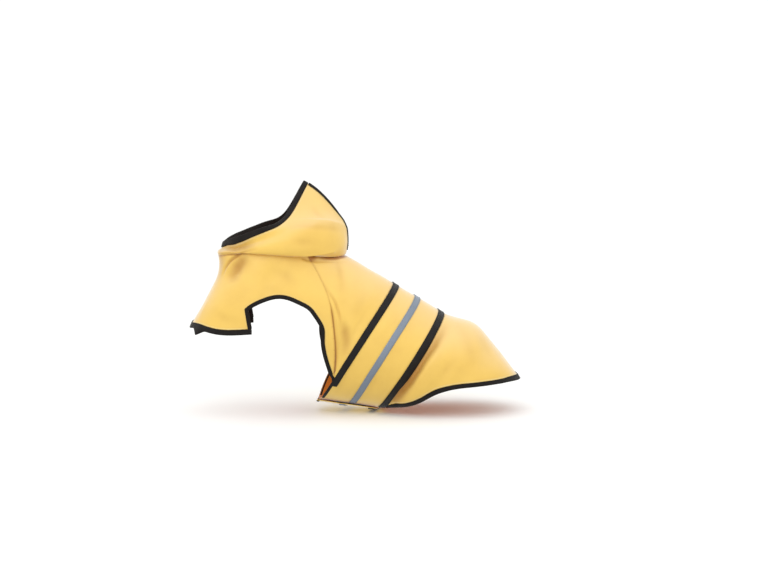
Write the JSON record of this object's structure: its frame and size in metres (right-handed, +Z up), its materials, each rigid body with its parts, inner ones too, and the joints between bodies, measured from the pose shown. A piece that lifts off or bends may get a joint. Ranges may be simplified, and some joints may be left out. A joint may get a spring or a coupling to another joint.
{
  "type": "dog raincoat, worn",
  "caption": "Hooded dog raincoat in worn form: bib over the chest, leg openings, band round the body with ribbons and reflective tape, rounded rump.",
  "frame": {"origin": "on the centre plane, where the coat's back rests on the wearer's withers", "axes": "+X towards the wearer's tail, +Y towards the wearer's right, +Z up"},
  "size_m": [0.5501, 0.1866, 0.3814],
  "materials": {
    "yellow_cloth": "coated cloth, low sheen",
    "black_binding": "matte woven binding",
    "black_ribbon": "matte ribbed ribbon",
    "grey_tape": "reflective tape, satin",
    "hook_and_loop": "napped"
  },
  "bodies": {
    "root": {"front_panel": "yellow_cloth", "back_panel": "yellow_cloth", "girth_band": "yellow_cloth", "rump_panel": "yellow_cloth", "hood_left": "yellow_cloth", "hood_right": "yellow_cloth", "hood_edge_binding": "black_binding", "crown_binding": "black_binding", "bib_hem_binding": "black_binding", "arm_binding_left": "black_binding", "arm_binding_right": "black_binding", "rump_hem_binding": "black_binding", "ribbon_front": "black_ribbon", "ribbon_rear": "black_ribbon", "reflective_tape": "grey_tape", "belly_hook_pad": "hook_and_loop", "belly_loop_pad": "hook_and_loop"}
  },
  "joints": []
}
